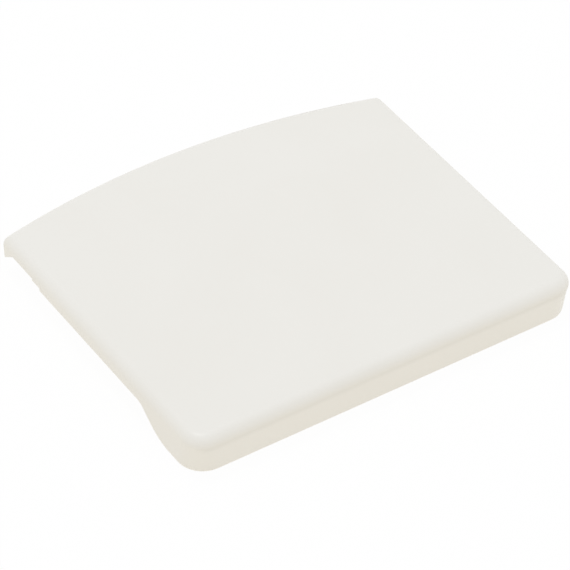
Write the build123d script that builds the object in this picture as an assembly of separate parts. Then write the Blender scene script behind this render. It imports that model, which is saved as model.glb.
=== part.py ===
from build123d import *
import os
from math import cos, radians, sqrt, tan

# Washing machine door handle: a one-piece moulded plate that turns on a pin near the door's rim.
# The grip lip faces -Y, the curved edge that follows the door's rim faces +Y, the top face +Z.
# The origin is under the middle of the plate, level with the lip's lower edge.

# Driving dimensions, in millimetres and degrees

# Plan of the plate
front_width = 110.0
back_width = 115.5
side_depth = 91.4
rim_radius = 206.0
front_corner_radius = 5.6
lip_corner_radius = 7.3
back_corner_radius = 1.5

# Heights, from the lip's lower edge
height = 11.4
edge_radius = 2.8
crease_land = 0.15
lip_setback = 0.25
lip_rake = 2.4
side_draft = 0.8

# Walls of the moulding
plate_wall = 2.4
side_wall = 2.0
back_wall = 2.0
lip_wall = 2.6
inner_radius = 0.8
lip_edge_radius = 1.0
lip_inner_radius = 0.5

# How far the side and back walls hang below the top face
side_drop = 5.55
back_drop = 7.0

# The lip wraps round the front corners and sweeps up to the side walls
sweep_lead = 0.3
lip_return = 16.0
sweep_angle = 35.6
sweep_low_radius = 14.0
sweep_high_radius = 3.6

# Pin that the handle turns on, and the two ears that carry it
pin_diameter = 4.0
pin_clearance = 0.06
pivot_setback = 10.6
ear_wall = 2.3
ear_width = 6.0
ear_spread = 60.0
ear_foot = 8.0

# Notch in each side wall, where the pin passes below it
notch_clearance = 1.7
notch_length = 10.0
step_length = 3.7
step_rise = 1.6

# Lengths and levels that follow from them

flare = (back_width - front_width) / 2 / side_depth
rim_rise = rim_radius - sqrt(rim_radius**2 - (back_width / 2) ** 2)
depth = side_depth + rim_rise
front_y = -depth / 2
corner_y = front_y + side_depth
rim_centre_y = depth / 2 - rim_radius

crease_z = height - edge_radius - crease_land
ceiling_z = height - plate_wall
side_rim_z = height - side_drop
back_rim_z = height - back_drop

bore_radius = pin_diameter / 2 + pin_clearance
ear_radius = bore_radius + ear_wall
pivot_y = corner_y - pivot_setback
pivot_z = ear_radius

notch_z = pivot_z + pin_diameter / 2 + notch_clearance
notch_front_y = pivot_y - notch_length / 2
notch_back_y = pivot_y + notch_length / 2
step_z = side_rim_z + step_rise
step_front_y = notch_front_y - step_length

margin = height


def lip_face_y(z):
    """Where the raked outer face of the lip stands at height z, set back under the plate's edge."""
    return front_y + lip_setback + (crease_z - z) * tan(radians(lip_rake))


def plan(edge_y, side_inset, back_inset, front_radius, back_radius):
    """Plan of the plate with its front edge at edge_y, drawn in from the sides and the rim."""
    # Side line x = reach + flare * y, and where it meets the rim's arc
    reach = front_width / 2 - flare * front_y - side_inset * sqrt(1 + flare**2)
    arc = rim_radius - back_inset
    a = 1 + flare**2
    b = reach * flare - rim_centre_y
    c = reach**2 + rim_centre_y**2 - arc**2
    meet_y = (sqrt(b**2 - a * c) - b) / a
    meet_x = reach + flare * meet_y
    front_x = reach + flare * edge_y
    with BuildSketch() as sketch:
        with BuildLine():
            Polyline((-meet_x, meet_y), (-front_x, edge_y), (front_x, edge_y), (meet_x, meet_y))
            ThreePointArc((meet_x, meet_y), (0, rim_centre_y + arc), (-meet_x, meet_y))
        make_face()
        corners = sketch.vertices().sort_by(Axis.Y)
        fillet(corners[:2], front_radius)
        corners = [v for v in sketch.vertices() if abs(v.Y - meet_y) < 1e-6]
        fillet(corners, back_radius)
    return sketch.sketch


def wall_spread(z):
    """How far the drafted side walls have spread outwards at height z."""
    return (crease_z - z) * tan(radians(side_draft))


def corner_radius(z):
    """Radius of the front corners in plan, which grows from the crease down to the lip's edge."""
    return front_corner_radius + (lip_corner_radius - front_corner_radius) * (1 - z / crease_z)


def plate_plan():
    edge = plan(front_y, 0, 0, front_corner_radius, back_corner_radius)
    return Pos(0, 0, crease_z) * edge


def outer_plan(z):
    edge_y = lip_face_y(z)
    return Pos(0, 0, z) * plan(edge_y, -wall_spread(z), 0, corner_radius(z), back_corner_radius)


def inner_plan(z):
    edge_y = lip_face_y(z) + lip_wall / cos(radians(lip_rake))
    front_radius = max(lip_corner_radius - side_wall, inner_radius)
    side_inset = side_wall - wall_spread(z)
    return Pos(0, 0, z) * plan(edge_y, side_inset, back_wall, front_radius, inner_radius)


def outer_form():
    """Plate with its rounded edge down to the crease, then the lip set back below it."""
    upper = extrude(plate_plan(), height - crease_z)
    upper = fillet(upper.faces().sort_by(Axis.Z)[-1].edges(), edge_radius)
    lower = loft([outer_plan(0), outer_plan(crease_z)], ruled=True)
    return upper + lower


def hollow():
    """Space under the plate, open downwards."""
    space = loft([inner_plan(-margin), inner_plan(ceiling_z)], ruled=True)
    return fillet(space.faces().sort_by(Axis.Z)[-1].edges(), inner_radius)


def side_cut(profile):
    """A profile drawn on the YZ plane, as a cut right across the handle."""
    return extrude(profile.sketch, back_width, both=True)


def sweep_trim():
    """What is taken off below the side walls, from the lip's sweep back to the notch."""
    sweep_low_y = front_y + lip_return
    sweep_high_y = sweep_low_y + side_rim_z / tan(radians(sweep_angle))
    low_tangent = sweep_low_radius * tan(radians(sweep_angle / 2))
    start_y = sweep_low_y - low_tangent - sweep_lead
    with BuildSketch(Plane.YZ) as profile:
        with BuildLine():
            sweep = FilletPolyline(
                (start_y, 0),
                (sweep_low_y, 0),
                (sweep_high_y, side_rim_z),
                (pivot_y, side_rim_z),
                radius=[sweep_low_radius, sweep_high_radius],
            )
            Polyline(sweep @ 1, (pivot_y, -margin), (start_y, -margin), sweep @ 0)
        make_face()
    return side_cut(profile)


def notch_trim():
    """The step and the notch for the pin, and what is taken off below the back wall."""
    end_y = depth / 2 + margin
    with BuildSketch(Plane.YZ) as profile:
        with BuildLine():
            Polyline(
                (step_front_y, -margin),
                (step_front_y, step_z),
                (notch_front_y, step_z),
                (notch_front_y, notch_z),
                (notch_back_y, notch_z),
                (corner_y, back_rim_z),
                (end_y, back_rim_z),
                (end_y, -margin),
                close=True,
            )
        make_face()
    return side_cut(profile)


def ear(centre_x):
    """Ear that hangs from the plate and carries the pin, widening upwards to its foot."""
    foot_z = ceiling_z + plate_wall / 2
    half_foot = ear_radius + ear_foot
    with BuildSketch(Plane.YZ) as profile:
        with Locations((pivot_y, pivot_z)):
            Circle(ear_radius)
        with BuildLine():
            Polyline(
                (pivot_y - ear_radius, pivot_z),
                (pivot_y + ear_radius, pivot_z),
                (pivot_y + half_foot, foot_z),
                (pivot_y - half_foot, foot_z),
                close=True,
            )
        make_face()
    return Pos(centre_x, 0, 0) * extrude(profile.sketch, ear_width / 2, both=True)


def pin_bore():
    axis = Plane(origin=(0, pivot_y, pivot_z), z_dir=(1, 0, 0))
    return axis * Cylinder(bore_radius, ear_spread + 2 * ear_width)


def lip_edges(shell):
    """The two long edges under the lip, the outer one first."""
    foot = shell.faces().filter_by(Axis.Z).group_by(Axis.Z)[0].sort_by(Axis.Y)[0]
    return foot.edges().filter_by(lambda edge: edge.length > front_width / 2).sort_by(Axis.Y)


def round_lip(shell):
    """Round the lip's lower edges, which run on along the sweep and under the side walls."""
    shell = fillet(lip_edges(shell)[0], min(lip_edge_radius, 0.6 * side_wall))
    return fillet(lip_edges(shell)[-1], min(lip_inner_radius, 0.25 * side_wall))


def door_handle():
    shell = round_lip(outer_form() - hollow() - sweep_trim()) - notch_trim()
    ears = [ear(side * ear_spread / 2) for side in (-1, 1)]
    return shell + ears - pin_bore()


handle = door_handle()
os.makedirs("parts", exist_ok=True)
export_step(handle, "parts/door_handle.step")
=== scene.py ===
import math

import bpy
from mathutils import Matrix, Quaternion, Vector


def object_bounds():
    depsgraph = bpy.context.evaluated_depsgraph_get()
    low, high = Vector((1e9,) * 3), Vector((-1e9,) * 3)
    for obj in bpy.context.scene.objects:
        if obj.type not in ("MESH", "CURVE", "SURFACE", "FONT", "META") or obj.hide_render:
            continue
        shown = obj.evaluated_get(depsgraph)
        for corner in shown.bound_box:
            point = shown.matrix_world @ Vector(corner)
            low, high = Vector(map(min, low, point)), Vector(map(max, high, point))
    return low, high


# Washing machine door handle: one moulding in warm white plastic, seen over its grip lip.
# Metres, in the frame of the CAD part: grip lip towards -Y, curved edge towards +Y, top face up.

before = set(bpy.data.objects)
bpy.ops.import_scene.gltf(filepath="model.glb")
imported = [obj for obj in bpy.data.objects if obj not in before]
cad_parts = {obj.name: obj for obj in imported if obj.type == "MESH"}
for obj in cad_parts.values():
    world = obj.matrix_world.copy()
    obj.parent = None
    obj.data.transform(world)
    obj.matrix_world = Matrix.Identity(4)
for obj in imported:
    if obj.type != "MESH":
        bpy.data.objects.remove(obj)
cad_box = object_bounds()

MM = 0.001
WHITE = (1.0, 1.0, 1.0, 1.0)

# Taken from the CAD part: the front of the plate, the foot of the grip lip and the top face
FRONT_Y = cad_box[0].y
FOOT_Z = cad_box[0].z
TOP_Z = cad_box[1].z

# Camera: where it looks, from which side, and how long its lens is
AIM = Vector((-3.44, -6.86, 5.0)) * MM
AZIMUTH = math.radians(-32.16)
ELEVATION = math.radians(40.48)
ROLL = math.radians(-0.16)
DISTANCE = 538.4 * MM
NEAREST = 10.0 * MM
LENS = 135.8
SENSOR = 36.0

# Studio light: a white tent all round, a broad panel overhead, and a small lamp above and behind
TENT_LEVEL = 0.80
LAMPS = {
    "panel_above": {"place": (0.0, 0.0, 1.0), "side": 1.20, "power": 1.15},
    "lamp_behind": {"place": (-0.04, 0.22, 0.97), "side": 0.15, "power": 1.08},
}

# Light table that the handle lies on: shows white, keeps a faint shadow, and glows warm from below
TABLE_SIDE = 4.0
TABLE_DROP = 0.02 * MM
TABLE_SHEET = (0.98, 0.98, 0.98, 1.0)
TABLE_WHITE_SHARE = 0.95
TABLE_BOUNCE = (0.25, 0.25, 0.25, 1.0)
TABLE_GLOW = (0.760, 0.703, 0.592, 1.0)

# White plastic, paler and deeper where it flowed in the mould
PLASTIC_PALE = (0.846, 0.834, 0.795, 1.0)
PLASTIC_DEEP = (0.836, 0.822, 0.780, 1.0)
PLASTIC_IOR = 1.46
FLOW_PATTERN = {"Scale": 28.0, "Detail": 3.0, "Distortion": 0.6}
FLOW_DEEP_AT = 0.3
FLOW_PALE_AT = 0.7

# Satin skin: its roughness varies in small clouds, over a fine moulded grain
SATIN_LOW = 0.33
SATIN_HIGH = 0.41
SATIN_PATTERN = {"Scale": 160.0, "Detail": 4.0}
GRAIN_PATTERN = {"Scale": 2600.0, "Detail": 2.0}
GRAIN_STRENGTH = 0.05
GRAIN_DEPTH = 0.1 * MM

# Painted shade in the crease along the front, in the step under the rounded edge, with a faint bump
# groove there; it fades at the corners
CREASE_PAINTED_SHADE = (0.800, 0.788, 0.748, 1.0)
CREASE_Z = TOP_Z - 3.3 * MM
CREASE_REACH = 1.5 * MM
CREASE_DEPTH = 0.05 * MM
CREASE_FULL_Y = FRONT_Y + 0.33 * MM
CREASE_END_Y = FRONT_Y + 2.23 * MM


def add_node(tree, kind, **values):
    """A node with the named properties set; an input is named by its socket."""
    node = tree.nodes.new(kind)
    for name, value in values.items():
        if hasattr(node, name):
            setattr(node, name, value)
        else:
            node.inputs[name.replace("_", " ")].default_value = value
    return node


def seen_directly(tree):
    """1 for rays that show the background itself: from the camera, or by gloss or clear material."""
    path = add_node(tree, "ShaderNodeLightPath")
    first = add_node(tree, "ShaderNodeMath", operation="MAXIMUM")
    second = add_node(tree, "ShaderNodeMath", operation="MAXIMUM")
    tree.links.new(path.outputs["Is Camera Ray"], first.inputs[0])
    tree.links.new(path.outputs["Is Glossy Ray"], first.inputs[1])
    tree.links.new(first.outputs[0], second.inputs[0])
    tree.links.new(path.outputs["Is Transmission Ray"], second.inputs[1])
    return second.outputs[0]


def add_camera():
    """Long lens that looks down on the handle over its front left corner."""
    data = bpy.data.cameras.new("camera")
    data.sensor_width = SENSOR
    data.lens = LENS
    data.clip_start = NEAREST
    camera = bpy.data.objects.new("camera", data)
    back = Vector((
        math.sin(AZIMUTH) * math.cos(ELEVATION),
        -math.cos(AZIMUTH) * math.cos(ELEVATION),
        math.sin(ELEVATION),
    ))
    turn = back.to_track_quat("Z", "Y") @ Quaternion((0.0, 0.0, 1.0), ROLL)
    camera.location = AIM + back * DISTANCE
    camera.rotation_euler = turn.to_euler()
    bpy.context.scene.collection.objects.link(camera)
    bpy.context.scene.camera = camera


def add_tent():
    """Even studio light from all round; the background itself shows white."""
    world = bpy.data.worlds.new("white_tent")
    world.use_nodes = True
    tree = world.node_tree
    tree.nodes.clear()
    light = add_node(tree, "ShaderNodeBackground", Color=WHITE, Strength=TENT_LEVEL)
    shown = add_node(tree, "ShaderNodeBackground", Color=WHITE)
    mix = add_node(tree, "ShaderNodeMixShader")
    out = add_node(tree, "ShaderNodeOutputWorld")
    tree.links.new(seen_directly(tree), mix.inputs[0])
    tree.links.new(light.outputs[0], mix.inputs[1])
    tree.links.new(shown.outputs[0], mix.inputs[2])
    tree.links.new(mix.outputs[0], out.inputs["Surface"])
    bpy.context.scene.world = world


def add_lamp(name, place, side, power):
    """Square area lamp at place, facing the handle."""
    data = bpy.data.lights.new(name, "AREA")
    data.shape = "SQUARE"
    data.size = side
    data.energy = power
    lamp = bpy.data.objects.new(name, data)
    lamp.location = place
    lamp.rotation_euler = Vector(place).to_track_quat("Z", "Y").to_euler()
    bpy.context.scene.collection.objects.link(lamp)


def table_material():
    """Lit table: nearly white to look at, with the shadow kept, and a warm light back up.
    From below it is clear, so that the underside can be looked at."""
    material = bpy.data.materials.new("light_table")
    material.use_nodes = True
    tree = material.node_tree
    tree.nodes.clear()

    # What lights the handle from below
    bounce = add_node(tree, "ShaderNodeBsdfDiffuse", Color=TABLE_BOUNCE)
    glow = add_node(tree, "ShaderNodeEmission", Color=TABLE_GLOW)
    lit = add_node(tree, "ShaderNodeAddShader")
    tree.links.new(bounce.outputs[0], lit.inputs[0])
    tree.links.new(glow.outputs[0], lit.inputs[1])

    # What the table looks like
    sheet = add_node(tree, "ShaderNodeBsdfDiffuse", Color=TABLE_SHEET)
    white = add_node(tree, "ShaderNodeEmission", Color=WHITE)
    shown = add_node(tree, "ShaderNodeMixShader", Fac=TABLE_WHITE_SHARE)
    tree.links.new(sheet.outputs[0], shown.inputs[1])
    tree.links.new(white.outputs[0], shown.inputs[2])
    above = add_node(tree, "ShaderNodeMixShader")
    tree.links.new(seen_directly(tree), above.inputs[0])
    tree.links.new(lit.outputs[0], above.inputs[1])
    tree.links.new(shown.outputs[0], above.inputs[2])

    # Clear from its lower side
    side = add_node(tree, "ShaderNodeNewGeometry")
    clear = add_node(tree, "ShaderNodeBsdfTransparent")
    table = add_node(tree, "ShaderNodeMixShader")
    out = add_node(tree, "ShaderNodeOutputMaterial")
    tree.links.new(side.outputs["Backfacing"], table.inputs[0])
    tree.links.new(above.outputs[0], table.inputs[1])
    tree.links.new(clear.outputs[0], table.inputs[2])
    tree.links.new(table.outputs[0], out.inputs["Surface"])
    return material


def add_table():
    """The table's flat top, just under the handle's foot."""
    bpy.ops.object.select_all(action="DESELECT")
    bpy.ops.mesh.primitive_plane_add(size=TABLE_SIDE, location=(0.0, 0.0, FOOT_Z - TABLE_DROP))
    floor = bpy.context.object
    floor.name = "floor"
    floor.data.materials.append(table_material())


def noise(tree, place, pattern):
    """Noise over the object's own coordinates."""
    texture = add_node(tree, "ShaderNodeTexNoise", **pattern)
    tree.links.new(place.outputs["Object"], texture.inputs["Vector"])
    return texture.outputs["Fac"]


def crease_shade_and_groove_mask(tree, place):
    """Where the painted shade and the bump groove lie: 1 in the crease along the front, 0 away from
    it and on the sides.
    """
    split = add_node(tree, "ShaderNodeSeparateXYZ")
    tree.links.new(place.outputs["Object"], split.inputs[0])
    offset = add_node(tree, "ShaderNodeMath", operation="SUBTRACT")
    offset.inputs[1].default_value = CREASE_Z
    tree.links.new(split.outputs["Z"], offset.inputs[0])
    away = add_node(tree, "ShaderNodeMath", operation="ABSOLUTE")
    tree.links.new(offset.outputs[0], away.inputs[0])
    line = add_node(tree, "ShaderNodeMapRange", interpolation_type="SMOOTHSTEP",
                    From_Max=CREASE_REACH, To_Min=1.0, To_Max=0.0)
    tree.links.new(away.outputs[0], line.inputs["Value"])
    front = add_node(tree, "ShaderNodeMapRange", interpolation_type="SMOOTHSTEP",
                     From_Min=CREASE_FULL_Y, From_Max=CREASE_END_Y, To_Min=1.0, To_Max=0.0)
    tree.links.new(split.outputs["Y"], front.inputs["Value"])
    mask = add_node(tree, "ShaderNodeMath", operation="MULTIPLY")
    tree.links.new(line.outputs["Result"], mask.inputs[0])
    tree.links.new(front.outputs["Result"], mask.inputs[1])
    return mask.outputs[0]


def plastic_material():
    """Warm white moulded plastic: faint flow shading, satin gloss, painted shade and a bump groove
    in the crease, and grain.
    """
    material = bpy.data.materials.new("white_plastic")
    material.use_nodes = True
    tree = material.node_tree
    tree.nodes.clear()
    place = add_node(tree, "ShaderNodeTexCoord")
    out = add_node(tree, "ShaderNodeOutputMaterial")
    plastic = add_node(tree, "ShaderNodeBsdfPrincipled", IOR=PLASTIC_IOR)
    tree.links.new(plastic.outputs[0], out.inputs["Surface"])
    crease_shade_and_groove = crease_shade_and_groove_mask(tree, place)

    # Colour: flow shading, and painted shade in the crease
    flow = add_node(tree, "ShaderNodeValToRGB")
    deep, pale = flow.color_ramp.elements
    deep.color = PLASTIC_DEEP
    deep.position = FLOW_DEEP_AT
    pale.color = PLASTIC_PALE
    pale.position = FLOW_PALE_AT
    tree.links.new(noise(tree, place, FLOW_PATTERN), flow.inputs["Fac"])
    # Painted shade: the base colour is mixed towards a darker tone along the crease
    tone_and_painted_shade = add_node(tree, "ShaderNodeMixRGB", Color2=CREASE_PAINTED_SHADE)
    tree.links.new(crease_shade_and_groove, tone_and_painted_shade.inputs["Fac"])
    tree.links.new(flow.outputs["Color"], tone_and_painted_shade.inputs["Color1"])
    tree.links.new(tone_and_painted_shade.outputs["Color"], plastic.inputs["Base Color"])

    # Satin gloss
    satin = add_node(tree, "ShaderNodeMapRange", To_Min=SATIN_LOW, To_Max=SATIN_HIGH)
    tree.links.new(noise(tree, place, SATIN_PATTERN), satin.inputs["Value"])
    tree.links.new(satin.outputs["Result"], plastic.inputs["Roughness"])

    # Relief: the crease, and the grain over it
    groove = add_node(tree, "ShaderNodeBump", invert=True, Distance=CREASE_DEPTH)
    tree.links.new(crease_shade_and_groove, groove.inputs["Height"])
    grain = add_node(tree, "ShaderNodeBump", Strength=GRAIN_STRENGTH, Distance=GRAIN_DEPTH)
    tree.links.new(noise(tree, place, GRAIN_PATTERN), grain.inputs["Height"])
    tree.links.new(groove.outputs["Normal"], grain.inputs["Normal"])
    tree.links.new(grain.outputs["Normal"], plastic.inputs["Normal"])
    return material


def finish_handle():
    """The CAD node has the handle's shape, so it stays and takes the finished plastic."""
    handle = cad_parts["door_handle"]
    plastic = plastic_material()
    for slot in handle.material_slots:
        slot.material = plastic


add_camera()
add_tent()
for name, values in LAMPS.items():
    add_lamp(name, **values)
add_table()
finish_handle()

bpy.context.scene.view_settings.view_transform = "Standard"
